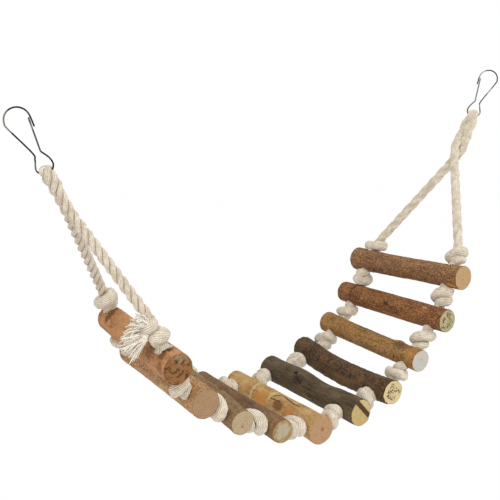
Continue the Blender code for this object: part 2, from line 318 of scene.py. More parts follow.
def wireMaterial(name, plated):
    net = Net(name)
    worn = net.noise(900, 4).ramp(0.45, 0.75)
    bright = net.noise(75, 2).ramp(0.53, 0.61) * 0.7  # stretches that look polished
    # painted highlight: the side of the wire that faces the highlight side is painted light grey
    paintedHighlight = net.painted("paintedHighlight")
    plate = net.mix(bright, net.mix(worn * 0.5, tone(*plated), tone(20, 20, 19)), tone(150, 150, 142))
    colour = net.mix(paintedHighlight.ramp(0.72, 0.95), plate, tone(200, 200, 198))
    net.set(Base_Color=colour, Metallic=1.0, Roughness=0.2 + worn * 0.15)
    return net.owner


def bentWire(name, points, material):
    curve = newCurve(name, dimensions="3D", bevel_depth=hookShape["wire"], use_fill_caps=True)
    curve.bevel_resolution = hookShape["sides"]
    addSpline(curve, points)
    obj = asMesh(placeCurve(name, curve))
    mend(obj)
    finishWith(obj, material)
    smoothFaces(obj, hookShape["smooth"])
    # painted highlight: how far each point of the wire faces the highlight side
    highlightFacing = [vert.normal.dot(hookShape["highlightSide"]) for vert in obj.data.vertices]
    obj.data.attributes.new("paintedHighlight", "FLOAT", "POINT").data.foreach_set("value", highlightFacing)
    return obj


def makeHooks():
    wire = wireMaterial("platedWire", hookShape["plating"])
    gateWire = wireMaterial("platedGateWire", hookShape["gatePlating"])
    bow, steps = hookShape["bow"], hookShape["gateSteps"]
    for end in hooks:
        outline = [hookShape["catchEnd"]]
        for angle in np.linspace(0, math.radians(bow["sweep"]), bow["points"]):
            across, along = bow["radius"] * math.cos(angle), bow["radius"] * math.sin(angle)
            outline.append((bow["across"] + across, bow["along"] + along))
        outline += [*hookShape["backToEye"], *hookShape["eyeToShoulder"], hookShape["shoulder"]]
        points = smoothLine([hookPoint(end, point) for point in outline], hookShape["steps"])
        hook = bentWire(end + "_snap_hook", points, wire)
        dress(hook, "hooks", "hook_wire", end + "_hook")
        pivot, tip = hookPoint(end, hookShape["shoulder"]), hookPoint(end, hookShape["gateTip"])
        gatePoints = [pivot.lerp(tip, step / steps) for step in range(steps + 1)]
        gate = bentWire(end + "_snap_gate", gatePoints, gateWire)
        dress(gate, end + "_gate", "hook_wire", end + "_hook_gate")


makeHooks()
print("hooks bent")


# Rope: one cotton rope knotted between the rungs, laid from three strands of yarn

ropeShape = {
    "left": {"radius": 0.0040, "plump": 0.52, "turn": 0.0230},  # legs on the left keep their lay
    "right": {"radius": 0.0041, "plump": 0.66, "turn": 0.034},  # legs on the right have loosened
    "knot": {"radius": 0.0046, "plump": 0.76, "turn": 0.060},
    "neckRadius": 0.0028,
    "endNeckRadius": 0.0036,
    "yarns": 18,
    "yarnDepth": 0.075,
    "fuzz": {"size": 0.00020, "scale": 520},
    "spacing": 0.001,  # of the points along the rope
    "offset": 0.048,  # from a rung's middle to the rope
    "gap": 0.0007,  # between a rung and a knot
    "inHole": 0.0040,  # rope within this distance of a hole's middle line keeps its shape
    "wrap": {
        "radius": 0.0051, "turns": 1.55, "flare": 0.22, "span": 0.30, "tilt": 0.0024, "tiltTurn": 1.0,
        "points": 41, "steps": 4, "thick": 14,  # parts at full thickness, between two thin ones at each end
    },
    "knotRoll": 70,
    "endRise": 0.0010,
    "endStub": 0.0010,
    "endKnots": {  # height, turn in degrees, size of the wrap and how oval it is
        "left_front": (0.0195, 28, 0.80, 0.0),
        "left_rear": (0.0145, 140, 1.22, 0.25),
        "right_front": (0.0130, 118, 0.95, 0.10),
        "right_rear": (0.0070, 180, 1.1, 0.30),
    },
}
legShape = {
    "left": {"slope": -64.3, "parting": 0.030, "crossed": False},
    "right": {"slope": 60.9, "parting": 0.046, "crossed": True},
    "pairOffset": 0.0032,
    "pairClosing": 0.010,
    "partingOffset": 0.0012,
    "twistSpan": 1.35,
    "quickTurn": {"left": 10, "right": 25},  # degrees that the pair turns just below the eye
    "quickSpan": (0.005, 0.030),
    "bight": {"left": 0.0042, "right": 0.0043},
    "flatten": {"left": 0.36, "right": 0.28},  # of the bight's height over the wire
    "spread": 0.30,  # of the bight's width
    "spreadFrom": 0.016,  # it starts this far below the eye, and is full after this span
    "spreadSpan": 0.014,
    "squeeze": {"left": 0.88, "right": 0.90},  # of the rope's thickness, where it passes through the eye
    "easing": 0.94,  # the same, just before the eye
    "thick": 12,  # parts at full thickness before that
    "inKnot": 0.004,  # how far a leg starts inside its knot
    "apart": (0.06, 0.25, 0.5, 0.75, 0.9),  # places on the way from the knot to where the legs meet
    "paired": (1, 0.75, 0.5, 0.25, 0.13),  # and from there up to the eye
    "steps": 6,
}

# Each branch from left to right: diameters at front, middle and rear, sag and shift in millimetres, how far its
# rope holes are turned about it in degrees, and by how many millimetres its front and rear are longer than most
branchSizes = (
    ((21.4, 20.8, 20.0), 0.0, -2.5, -12.0, (0.7, -1.5)),
    ((21.2, 20.6, 21.2), 0.0, 2.5, 13.0, (1.5, 0.0)),
    ((17.8, 17.8, 18.0), 0.0, 0.5, 0.0, (2.0, 0.0)),
    ((18.0, 16.4, 16.4), 0.0, 0.0, 0.0, (0.5, 0.0)),
    ((21.8, 19.8, 18.0), 0.0, 0.0, 0.0, (0.5, 4.0)),
    ((21.2, 21.2, 21.6), 0.2, 1.0, 0.0, (3.5, 0.5)),
    ((20.2, 20.6, 21.2), 3.9, -2.0, 0.0, (0.0, 2.5)),
    ((18.6, 17.4, 19.4), 0.6, 0.0, 0.0, (0.5, 2.0)),
    ((19.4, 19.8, 19.2), 0.4, 0.0, 0.0, (2.5, 4.0)),
    ((20.2, 19.2, 21.4), 0.5, 0.0, 0.0, (2.2, 3.4)),
)
halfRung = 0.060
branchCount = len(branchSizes)


def branchFrame(index):
    joint = joints[f"rung_{index + 1:02d}_rock"]
    axis = Vector(joint["axis"]).normalized()
    return Vector(joint["pos_m"]), axis if axis.y > 0 else -axis


branches = [branchFrame(index) for index in range(branchCount)]
chain = [hooks["left"]["eye"], *(centre for centre, _ in branches), hooks["right"]["eye"]]
ways = [(end - start).normalized() for start, end in zip(chain, chain[1:])]
holeWays = []
for (_, _, _, turn, _), come, go in zip(branchSizes, ways, ways[1:]):
    slope = math.atan2(come.z + go.z, come.x + go.x) + math.radians(turn)
    holeWays.append(Vector((math.cos(slope), 0, math.sin(slope))))


def branchRadius(index, along):
    front, middle, rear = (size / 2000 for size in branchSizes[index][0])
    t = along / halfRung
    return middle + (rear - front) / 2 * t + ((front + rear) / 2 - middle) * t * t


def holeCentre(index, side):
    centre, axis = branches[index]
    return centre + axis * (sideSign[side] * ropeShape["offset"])


def holeMouth(index, side, way):
    reach = branchRadius(index, sideSign[side] * ropeShape["offset"]) + ropeShape["gap"]
    return holeCentre(index, side) + holeWays[index] * (way * reach)


# A jammed knot: the rope flares from its hole into a wrap and a half round its own line and back again
def knotPoints(start, end, roll, size=1.0, oval=0.10):
    wrap = ropeShape["wrap"]
    axis = (end - start).normalized()
    side = (acrossRungs - axis * axis.dot(acrossRungs)).normalized()
    up = axis.cross(side)
    length = (end - start).length
    points = []
    flare, inner = wrap["flare"], (1 - wrap["span"]) / 2
    for t in np.linspace(0, 1, wrap["points"]):
        out = smoothStep(t / flare) * smoothStep((1 - t) / flare)
        angle = roll + 2 * math.pi * wrap["turns"] * t
        reach = wrap["radius"] * size * out * (1 + oval * math.cos(2 * angle))
        along = length * float(np.interp(t, (0, flare, 1 - flare, 1), (0, inner, 1 - inner, 1)))
        along += wrap["tilt"] * out * math.cos(angle - roll - wrap["tiltTurn"])
        points.append(start + axis * along + (side * math.cos(angle) + up * math.sin(angle)) * reach)
    return points


# Cross-section of the rope: three strands, each rippled by its yarns. Round the rope, crease and yarn say
# how deep in a gap between strands or yarns a point is.
ropeSides = 4 * ropeShape["yarns"]
ropeTurns = 2 * math.pi * np.arange(ropeSides) / ropeSides
yarnGaps = 1 - np.abs(np.cos(ropeShape["yarns"] / 2 * ropeTurns))


def strandReach(plump):
    off = (ropeTurns + math.pi / 3) % (2 * math.pi / 3) - math.pi / 3
    lean = 1 - plump
    return lean * np.cos(off) + np.sqrt(plump**2 - (lean * np.sin(off)) ** 2)


def ropeProfile(kind):
    size = ropeShape[kind]
    reach = strandReach(size["plump"]) * size["radius"] * (1 - ropeShape["yarnDepth"] * yarnGaps)
    curve = newCurve(kind + "RopeProfile", dimensions="2D")
    corners = [(away * math.cos(turn), away * math.sin(turn), 0) for away, turn in zip(reach, ropeTurns)]
    addSpline(curve, corners).use_cyclic_u = True
    return placeCurve(kind + "RopeProfile", curve)


ropeProfiles = {kind: ropeProfile(kind) for kind in ("left", "right", "knot")}


def ropeMaterial(name, shade, light):
    net = Net(name)
    crease, yarn = net.painted("crease"), net.painted("yarn")
    soft = net.noise(240, 3)
    fibre = net.noise(1300, 3, 0.6)
    cream = net.mix(soft.ramp(0.32, 0.68), tone(*shade), tone(*light))
    # painted shade: the gaps between the yarns are painted darker
    lined = net.mix((yarn + (fibre - 0.5) * 0.8).ramp(0.25, 0.95) * 0.75, cream, tone(160, 141, 115))
    lined = net.mix(fibre.ramp(0.54, 0.66) * 0.45, lined, tone(158, 140, 116))
    # darker grey-brown patches, placed at random by noise
    darkPatches = net.noise(110, 4, 0.6).ramp(0.52, 0.72) * fibre.ramp(0.40, 0.60)
    lined = net.mix(darkPatches * 0.5, lined, tone(150, 134, 112))
    # painted shade: the creases between the strands are painted darker
    deep = crease + (fibre - 0.5) * 0.4 + (soft - 0.5) * 0.3
    net.set(Base_Color=net.mix(deep.ramp(0.12, 0.62), lined, tone(144, 121, 92)))
    net.set(Roughness=0.95, Specular_IOR_Level=0.15, Sheen_Weight=0.2, Sheen_Roughness=0.6)
    net.bump(fibre, 0.00025)
    return net.owner


cotton = ropeMaterial("cottonRope", (214, 200, 177), (240, 231, 214))
# the same cotton painted lighter for the fray, to offset the shade between its loose yarns
frayCottonPaintedLight = ropeMaterial("frayCottonPaintedLight", (240, 230, 211), (252, 246, 234))


def layRope(name, kind, points, radii):
    size, fuzz = ropeShape[kind], ropeShape["fuzz"]
    line, length = evenLine(points, ropeShape["spacing"])
    share = np.linspace(0, 1, len(line))
    curve = newCurve(name, dimensions="3D", bevel_mode="OBJECT", use_fill_caps=True, twist_mode="MINIMUM")
    curve.bevel_object = ropeProfiles[kind]
    spline = addSpline(curve, line)
    scales = np.interp(share, np.linspace(0, 1, len(radii)), radii) / size["radius"]
    for place, scale, part in zip(spline.points, scales, share):
        place.radius = scale
        place.tilt = 2 * math.pi * part * length / size["turn"]
    obj = asMesh(placeCurve(name, curve))
    verts = pointsOf(obj)
    for key, depths in (("crease", 1 - strandReach(size["plump"])), ("yarn", yarnGaps)):
        value = np.zeros(len(verts), np.float32)
        value[: len(line) * ropeSides] = np.tile(depths, len(line))
        obj.data.attributes.new(key, "FLOAT", "POINT").data.foreach_set("value", value)
    moves = [noise.noise_vector(Vector(vert) * fuzz["scale"]) for vert in verts]
    setPoints(obj, verts + np.array(moves) * fuzz["size"])
    mend(obj)
    finishWith(obj, cotton)
    smoothFaces(obj)
    return obj, line


# Soft rope presses flat where it meets a branch, apart from the necks in the holes
def pressOff(obj, indices):
    verts = pointsOf(obj)
    for index in indices:
        centre, axis = (np.array(part) for part in branches[index])
        sag, shift = branchSizes[index][1] / 1000, branchSizes[index][2] / 1000
        away = verts - centre
        along = away @ axis
        drop = sag * ((along - shift) ** 2 - ropeShape["offset"] ** 2) / halfRung**2
        out = away - along[:, None] * axis - drop[:, None] * np.array((0, 0, 1))
        size = np.linalg.norm(out, axis=1)
        least = np.array([branchRadius(index, place) for place in along - shift]) + ropeShape["gap"]
        inHole = np.zeros(len(verts), bool)
        way = np.array(holeWays[index])
        for side in sideSign:
            fromHole = verts - np.array(holeCentre(index, side))
            fromLine = fromHole - (fromHole @ way)[:, None] * way
            inHole |= np.linalg.norm(fromLine, axis=1) < ropeShape["inHole"]
        move = (size < least) & ~inHole & (size > 1e-6)
        verts[move] += out[move] * (least[move] / size[move] - 1)[:, None]
    setPoints(obj, verts)


def layKnot(name, guide, neck, indices):
    full = ropeShape["knot"]["radius"]
    radii = [neck] * 2 + [full] * ropeShape["wrap"]["thick"] + [neck] * 2
    knot, _ = layRope(name + "_rope", "knot", smoothLine(guide, ropeShape["wrap"]["steps"]), radii)
    pressOff(knot, indices)
    dress(knot, "rope", "cotton_rope", name)


def makeGapKnots():
    for index in range(branchCount - 1):
        for side, sign in sideSign.items():
            start, end = holeMouth(index, side, 1), holeMouth(index + 1, side, -1)
            roll = sign * (index + 1) * math.radians(ropeShape["knotRoll"])
            guide = [holeCentre(index, side), *knotPoints(start, end, roll), holeCentre(index + 1, side)]
            layKnot(f"{side}_knot_{index + 1}", guide, ropeShape["neckRadius"], (index, index + 1))


def pairPoint(end, side, distance):
    eye, leg = hooks[end]["eye"], legShape[end]
    slope = math.radians(leg["slope"])
    upward = Vector((math.cos(slope), 0, math.sin(slope))) * (-1 if end == "left" else 1)
    leftward = acrossRungs.cross(upward)
    if leftward.x > 0:
        leftward = -leftward
    start = -math.radians(hookShape["turn"][end]) + (0 if leg["crossed"] else math.pi)
    finish = math.pi
    if side == "rear":
        start += math.pi
        finish += math.pi
    parting, quick = leg["parting"], math.radians(legShape["quickTurn"][end])
    grown, gone = (smoothStep(distance / span) for span in legShape["quickSpan"])
    angle = start + (finish - start) * smoothStep(distance / (legShape["twistSpan"] * parting))
    angle += quick * grown * (1 - gone)
    away = acrossRungs * math.cos(angle) + leftward * math.sin(angle)
    bight = legShape["bight"][end]
    reach = bight + (legShape["pairOffset"] - bight) * smoothStep(distance / legShape["pairClosing"])
    reach += legShape["partingOffset"] * smoothStep(2 * distance / parting - 1)
    return eye - upward * distance + away * reach, away, upward


# The hook's wire presses the bight low and wide
def pressBight(obj, end, upward):
    across, upward = np.array(hooks[end]["across"]), np.array(upward)
    verts = pointsOf(obj)
    away = verts - np.array(hooks[end]["eye"])
    rise, wide = away @ upward, away @ across
    near = np.clip((rise + legShape["spreadFrom"]) / legShape["spreadSpan"], 0, 1)
    over = np.clip(rise - hookShape["wire"], 0, None)
    verts += across * (wide * near * legShape["spread"])[:, None]
    verts -= upward * (over * legShape["flatten"][end])[:, None]
    setPoints(obj, verts)


def makeLeg(end, side):
    index, way = (0, -1) if end == "left" else (branchCount - 1, 1)
    mouth = holeMouth(index, side, way)
    parting = pairPoint(end, side, legShape[end]["parting"])[0]
    stand = (holeWays[index] * (2 * way) + (parting - mouth).normalized()).normalized()
    height, roll, size, oval = ropeShape["endKnots"][f"{end}_{side}"]
    foot = mouth + stand * ropeShape["endRise"]
    top = foot + stand * height
    turns = knotPoints(foot, top, math.radians(roll), size, oval)
    guide = [holeCentre(index, side), mouth, *turns, top + stand * ropeShape["endStub"]]
    name = f"{end}_{side}"
    layKnot(name + "_end_knot", guide, ropeShape["endNeckRadius"], (index,))
    guide = [top - stand * legShape["inKnot"]]
    guide += [top.lerp(parting, share) for share in legShape["apart"]]
    guide += [pairPoint(end, side, legShape[end]["parting"] * share)[0] for share in legShape["paired"]]
    _, away, upward = pairPoint(end, side, 0)
    for bend in np.linspace(0, math.pi / 2, 5):
        arc = away * math.cos(bend) + upward * math.sin(bend)
        guide.append(hooks[end]["eye"] + arc * legShape["bight"][end])
    full = ropeShape[end]["radius"]
    radii = [full] * legShape["thick"] + [full * legShape["easing"], full * legShape["squeeze"][end]]
    leg, line = layRope(name + "_leg_rope", end, smoothLine(guide, legShape["steps"]), radii)
    pressBight(leg, end, upward)
    dress(leg, "rope", "cotton_rope", name + "_leg")
    return (foot + top) / 2


makeGapKnots()
knotMiddles = {(end, side): makeLeg(end, side) for end in hooks for side in sideSign}
for profile in ropeProfiles.values():
    bpy.data.objects.remove(profile)


# The rope's end, frayed into tufts of yarn, each with its slope in degrees and its length in millimetres
fraySetup = {
    "seed": 7, "yarns": 340, "thick": 0.00056, "taper": 0.4, "steps": 7,
    "way": (-1, 0.2, 0), "out": 0.0065, "rise": 0.0015, "run": (-0.56, 0.62, 0.32), "droop": 0.0030,
    "tufts": (
        (-50, 14), (-36, 16), (-22, 17), (-9, 18), (3, 18), (14, 18), (25, 20), (36, 21), (47, 19), (66, 19),
    ),
    "slopeSpread": 4.5, "lengths": (0.55, 1.02), "lean": 0.20,
    "root": {"tall": 0.004, "thick": 0.0025, "back": 0.003},
    "waves": (0.5, 2.4), "bends": (4, 9),
}


def frayRope():
    dice, base, steps = random.Random(fraySetup["seed"]), fraySetup["root"], fraySetup["steps"]
    run = Vector(fraySetup["run"]).normalized()
    up = (Vector((0, 0, 1)) - run * run.z).normalized()
    thick = run.cross(up)
    root = knotMiddles["left", "front"] + Vector(fraySetup["way"]).normalized() * fraySetup["out"]
    root.z += fraySetup["rise"]
    curve = newCurve("frayed_yarn", dimensions="3D", bevel_depth=fraySetup["thick"], use_fill_caps=True)
    curve.bevel_resolution = 0
    for _ in range(fraySetup["yarns"]):
        slope, length = dice.choice(fraySetup["tufts"])
        slope = -math.radians(slope + dice.gauss(0, fraySetup["slopeSpread"]))
        length = length / 1000 * dice.uniform(*fraySetup["lengths"])
        lean = dice.gauss(0, fraySetup["lean"])
        way = (run * math.cos(slope) + up * math.sin(slope) + thick * lean).normalized()
        start = root + up * (math.sin(slope) * base["tall"])
        start = start + thick * dice.uniform(-base["thick"], base["thick"]) - run * base["back"]
        wave = dice.uniform(*fraySetup["waves"]) / 1000
        phase, bend = dice.uniform(0, 6.3), dice.uniform(*fraySetup["bends"])
        points = []
        for step in range(steps + 1):
            s = step / steps
            point = start + way * (length * s) - Vector((0, 0, fraySetup["droop"] * s * s))
            swing = up * math.sin(bend * s + phase) + thick * math.cos(bend * s + phase)
            points.append(point + swing * (wave * s))
        for step, place in enumerate(addSpline(curve, points).points):
            place.radius = 1 - fraySetup["taper"] * (step / steps)
    fray = asMesh(placeCurve("frayed_yarn", curve))
    pressOff(fray, (0, 1))
    mend(fray)
    # painted light: the fray takes the lighter copy of the cotton
    finishWith(fray, frayCottonPaintedLight)
    smoothFaces(fray)
    dress(fray, "rope", "cotton_rope", "frayed_end")


frayRope()
print("rope laid and knotted")


# Branch rungs. A place on a branch is in millimetres from its front end and degrees round it, from +X over
# the top. Marks are (kind, along, round, half length, half width, strength, height), the last in millimetres
# too; cracks are (width, depth, places). Relief is of lumps, roughness, fibres and rings.

rungMesh = {
    "sides": 96, "rings": 150, "rim": 0.035, "insets": (0.09, 0.14, 0.2, 0.2, 0.18), "smooth": 42,
    "wornRim": (0.7, 0.15),  # width and depth in millimetres, as the next two are
    "endDip": 0.15,
    "sawMarks": ((0.12, 9, 3.1), (0.10, 3, 1)),  # depth, waves across the end and a seed
    "sawStep": (0.9, 0.08),  # depth, and the step's width in radii
    "hole": {"radius": 0.0042, "depth": 0.05, "sides": 24},
}
barks = (
    {
        "slot": "light_bark", "tones": ((138, 90, 54), (186, 134, 88), (210, 162, 116)),
        "bare": (196, 140, 90), "tint": (122, 76, 44),
        "relief": (0.45, 0.10, 0.10, 0.03), "grain": 0.2, "dots": 0.12,
        "marks": (
            ("dark", 110, 94, 9, 8, 0.64, 0), ("dark", 10, 98, 8, 8, 0.64, 0),
            ("tint", 9, 134, 6, 4, 1.0, -0.2), ("tint", 102, 134, 5, 9, 0.9, 0),
            ("dark", 80, 158, 1.0, 0.8, 0.9, -0.3), ("dark", 96, 172, 2.0, 0.6, 0.8, -0.3),
            ("tint", 24, 150, 20, 12, 0.6, 0), ("tint", 6, 170, 8, 8, 0.6, 0),
        ),
        "end": {
            "tones": ((78, 48, 24), (148, 92, 44), (154, 134, 98)), "pith": (0.05, -0.1), "rings": 5,
            "mottle": 0.95, "rim": (150, 100, 58), "pale": (0.15, 0.78, 0.42), "ringed": 0.1,
        },
    },
    {
        "slot": "pink_bark", "tones": ((135, 94, 60), (182, 137, 93), (214, 175, 125)),
        "bare": (196, 158, 112), "tint": (130, 92, 62),
        "relief": (0.35, 0.16, 0.12, 0.05), "grain": 0.8, "dots": 0.35,
        "marks": (("dark", 62, 190, 5, 1.5, 0.5, -0.2), ("tint", 40, 160, 18, 6, 0.5, 0)),
        "end": {
            "tones": ((128, 94, 62), (168, 134, 98), (184, 152, 116)), "pith": (-0.02, 0.04), "rings": 6.5,
            "mottle": 0.15, "rim": (120, 84, 54), "ringed": 0.8,
        },
    },
    {
        "slot": "olive_bark", "tones": ((96, 74, 48), (138, 110, 72), (166, 140, 100)),
        "bare": (178, 120, 70), "tint": (84, 66, 46),
        "relief": (0.45, 0.20, 0.14, 0.06), "grain": 0.6, "dots": 0.4, "hair": 0.45,
        "marks": (
            ("swell", 38, 62, 14, 7, 0, 1.5), ("dark", 37, 66, 5, 1.6, 1.0, -0.9),
            ("tint", 18, 118, 9, 5, 0.8, 0), ("bare", 3, 150, 3, 9, 0.4, 0), ("tint", 60, 130, 20, 5, 0.5, 0),
        ),
        "end": {
            "tones": ((150, 122, 88), (184, 160, 126), (194, 174, 144)), "pith": (-0.05, -0.3), "rings": 4,
            "mottle": 0.2, "rim": (164, 112, 66), "heart": ((176, 112, 60), 0.12),
        },
    },
    {
        "slot": "purple_bark", "tones": ((88, 63, 43), (124, 92, 64), (152, 118, 83)),
        "bare": (170, 130, 92), "tint": (96, 76, 66),
        "relief": (0.30, 0.08, 0.08, 0.16), "grain": 0.35, "dots": 0.15,
        "marks": (("tint", 30, 110, 16, 5, 0.5, 0), ("bare", 3, 140, 3, 8, 0.5, 0)),
        "end": {
            "tones": ((156, 140, 104), (178, 166, 138), (190, 180, 156)), "pith": (0.1, 0.05), "rings": 4,
            "mottle": 0.25, "rim": (164, 122, 66), "edge": (162, 126, 78),
        },
    },
    {
        "slot": "bare_wood", "tones": ((146, 108, 62), (184, 146, 92), (214, 182, 128)),
        "bare": (196, 134, 68), "tint": (128, 88, 46),
        "relief": (0.40, 0.08, 0.14, 0.03), "grain": 0.3, "dots": 0.2,
        "marks": (
            ("bare", 70, 168, 12, 13, 1.2, -0.3), ("tint", 46, 146, 9, 6, 1.0, -0.5),
            ("bare", 30, 138, 9, 6, 0.9, 0.3), ("pale", 84, 135, 1.8, 12, 1.1, 0.7),
            ("bare", 92, 140, 5, 8, 0.6, 0), ("pale", 60, 120, 2, 8, 0.9, 0.3),
            ("bare", 30, 190, 14, 4, 0.7, -0.2),
        ),
        "cracks": (
            (0.35, 0.7, ((58, 132), (57, 107), (50, 84))),
            (0.35, 0.6, ((50, 84), (42, 92), (32, 101), (26, 94))),
            (0.3, 0.5, ((58, 132), (52, 128), (46, 122))),
        ),
        "end": {
            "tones": ((150, 112, 78), (180, 140, 102), (194, 158, 120)), "pith": (0.1, 0.08), "rings": 6,
            "mottle": 0.2, "rim": (190, 138, 84), "heart": ((164, 104, 66), 0.13),
        },
    },
    {
        "slot": "grey_bark", "tones": ((49, 40, 27), (84, 70, 50), (114, 96, 69)),
        "bare": (120, 96, 70), "tint": (58, 48, 36),
        "relief": (0.55, 0.10, 0.16, 0.05), "grain": 0.25, "dots": 0.08, "hair": 0.5,
        "marks": (
            ("swell", 76, 84, 15, 9, 0, 1.5), ("swell", 42, 72, 15, 9, 0, -1.9),
            ("dark", 75, 116, 3.5, 2.2, 1.1, -1.2), ("tint", 68, 140, 9, 6, 0.9, -0.3),
            ("bare", 66, 205, 26, 5, 0.45, 0), ("pale", 20, 130, 12, 7, 0.35, 0),
        ),
        "cracks": (
            (0.2, 0.2, ((74, 120), (68, 140), (60, 150))), (0.2, 0.2, ((72, 128), (66, 150), (56, 164))),
            (0.2, 0.2, ((76, 126), (72, 152), (64, 174))), (0.2, 0.2, ((66, 118), (58, 132), (48, 138))),
        ),
        "end": {
            "tones": ((158, 128, 68), (192, 166, 106), (208, 188, 134)), "pith": (-0.1, -0.1), "rings": 5,
            "mottle": 0.35, "rim": (96, 74, 46), "saw": (42, 0.32, 0.21, (84, 58, 38)),
        },
    },
    {
        "slot": "dark_bark", "tones": ((49, 36, 22), (95, 69, 42), (126, 97, 62)),
        "bare": (124, 92, 58), "tint": (42, 31, 21),
        "relief": (0.55, 0.45, 0.20, 0.22), "grain": 0.65, "dots": 0.3,
        "marks": (
            ("tint", 74, 128, 2, 5, 0.8, -0.5), ("tint", 58, 132, 1.5, 4, 0.8, -0.5),
            ("tint", 43, 150, 1.5, 4, 0.8, -0.4), ("tint", 24, 172, 2, 4, 0.8, -0.6),
            ("tint", 100, 130, 16, 20, 0.55, 0), ("bare", 52, 185, 24, 6, 0.7, 0),
            ("bare", 30, 150, 8, 5, 0.6, 0), ("tint", 88, 150, 2, 6, 0.8, -0.4),
        ),
        "end": {
            "tones": ((186, 158, 100), (216, 194, 142), (226, 208, 164)), "pith": (0.0, 0.0), "rings": 4,
            "mottle": 0.15, "rim": (112, 82, 50), "rot": (0.34, 0.52, (44, 34, 26)),
        },
    },
    {
        "slot": "golden_bark", "tones": ((110, 76, 41), (162, 118, 66), (186, 145, 91)),
        "bare": (186, 124, 66), "tint": (104, 78, 50),
        "relief": (0.45, 0.16, 0.12, 0.05), "grain": 0.7, "dots": 0.5,
        "marks": (
            ("swell", 27, 66, 6, 4, 0, 1.6), ("tint", 21, 110, 12, 7, 0.85, 0),
            ("bare", 5, 140, 5, 12, 0.6, 0), ("dark", 22, 182, 1.5, 2.5, 0.9, -0.4),
            # painted shade: the long tint mark at 85 degrees paints the upper edge darker
            ("tint", 62, 85, 50, 3, 0.6, 0), ("tint", 108, 130, 8, 8, 0.5, 0),
        ),
        "end": {
            "tones": ((176, 168, 152), (196, 190, 178), (206, 201, 192)), "pith": (0.08, 0.12), "rings": 7,
            "mottle": 0.1, "rim": (180, 124, 66), "heart": ((186, 140, 92), 0.09),
        },
    },
    {
        "slot": "red_bark", "tones": ((92, 56, 32), (141, 91, 52), (171, 120, 72)),
        "bare": (200, 160, 108), "tint": (70, 44, 28),
        "relief": (0.30, 0.14, 0.10, 0.08), "grain": 0.85, "dots": 0.9,
        "marks": (
            ("tint", 106, 150, 3.2, 40, 0.6, 0.5), ("pale", 115, 150, 5, 40, 0.35, 0),
            ("bare", 90, 170, 2.4, 1.8, 0.8, 0.2), ("bare", 18, 122, 4, 2, 0.8, 0.2),
            # painted light and shade: the long pale mark at 215 degrees paints the lower edge lighter, and the
            # long tint mark at 75 degrees paints the upper edge darker
            ("tint", 60, 160, 4, 3, 0.8, -0.2), ("pale", 60, 215, 60, 4, 0.5, 0),
            ("pale", 4, 150, 5, 9, 0.4, 0), ("tint", 60, 75, 60, 4, 0.6, 0),
        ),
        "end": {
            "tones": ((132, 119, 78), (174, 160, 115), (204, 194, 156)), "pith": (0.0, -0.05), "rings": 4,
            "mottle": 0.6, "rim": (110, 74, 44), "rot": (0.50, 0.26, (70, 58, 36)),
        },
    },
    {
        "slot": "brown_bark", "tones": ((94, 63, 39), (139, 95, 60), (175, 134, 92)),
        "bare": (192, 128, 68), "tint": (116, 90, 64),
        "relief": (0.35, 0.18, 0.16, 0.06), "grain": 0.95, "dots": 0.7, "hair": 0.35,
        "marks": (
            ("bare", 44, 92, 4, 1.0, 0.9, 0.6), ("bare", 4, 218, 6, 3, 1.0, -0.4),
            ("tint", 66, 165, 34, 5, 0.5, 0), ("dark", 92, 215, 5, 3, 0.7, 0.3),
            ("tint", 90, 120, 12, 6, 0.5, 0),
        ),
        "end": {
            "tones": ((160, 124, 84), (186, 150, 106), (196, 164, 122)), "pith": (0.02, -0.16), "rings": 5,
            "mottle": 0.15, "rim": (150, 104, 62), "heart": ((120, 82, 52), 0.05),
        },
    },
)


def barkMaterial(look):
    net = Net(look["slot"].replace("_b", "B"))
    dark, middle, light = (tone(*part) for part in look["tones"])
    grainy, hairy, ringed = look["grain"], look.get("hair", 0), look["relief"][3]
    streak = net.noise((330, 60, 330), 5, 0.6, 0.4)
    patch = net.noise((95, 48, 95), 4, 0.6)
    fleck = net.noise((560, 330, 560), 3, 0.6)
    grain = net.noise((1150, 800, 1150), 2, 0.6)
    lines = net.noise((120, 900, 120), 3, 0.6)
    hair = net.noise((1300, 70, 1300), 3, 0.6, 0.8)
    dots = net.specks((430, 330, 430))
    colour = net.mix(streak.ramp(0.30, 0.56), dark, middle)
    for pattern, low, high, strength, shade in (
        (patch, 0.46, 0.70, 0.7, light), (patch, 0.46, 0.30, 0.5, dark),
        (fleck, 0.52, 0.62, 0.8 * grainy, dark), (fleck, 0.47, 0.38, 0.7 * grainy, light),
        (grain, 0.52, 0.60, grainy, dark), (grain, 0.45, 0.37, grainy, light),
        (hair, 0.52, 0.64, hairy, light), (hair, 0.47, 0.35, hairy, dark),
        (lines, 0.56, 0.70, min(1.0, 4 * ringed), dark),
    ):
        colour = net.mix(pattern.ramp(low, high) * strength, colour, shade)
    dotted = tone(*(part * 0.55 for part in look["tones"][0]))
    colour = net.mix((1 - dots.ramp(0.12, 0.30)) * look["dots"], colour, dotted)
    split = net.node("SeparateColor", None, {0: net.painted("marks", 0)}).socket.node.outputs
    tint, bare, black = (Val(net, split[name]) for name in ("Red", "Green", "Blue"))
    pale = net.painted("marks", 3)
    ragged = (fleck - 0.5) * 1.1 + (streak - 0.5) * 0.9
    # tint and pale marks are mostly the bark's own colour; long tint marks along the upper edge of the golden and
    # red bark are painted shade, and a long pale mark along the red bark's lower edge is painted light
    colour = net.mix((tint + ragged * 0.6).ramp(0.25, 0.75), colour, tone(*look["tint"]))
    colour = net.mix((bare + ragged).ramp(0.25, 0.85) * 0.8, colour, tone(*look["bare"]))
    colour = net.mix((pale - 0.3 + ragged).ramp(0.2, 0.7) * 0.8, colour, light)
    colour = net.mix((black + ragged * 0.5).ramp(0.35, 0.7), colour, tone(30, 23, 17))
    net.set(Base_Color=colour, Roughness=0.72 + grain * 0.2, Specular_IOR_Level=0.3)
    net.bump(grain * 0.4 + fleck * 0.8 + streak * 0.5 + lines * (2 * ringed), 0.0007)
    return net.owner


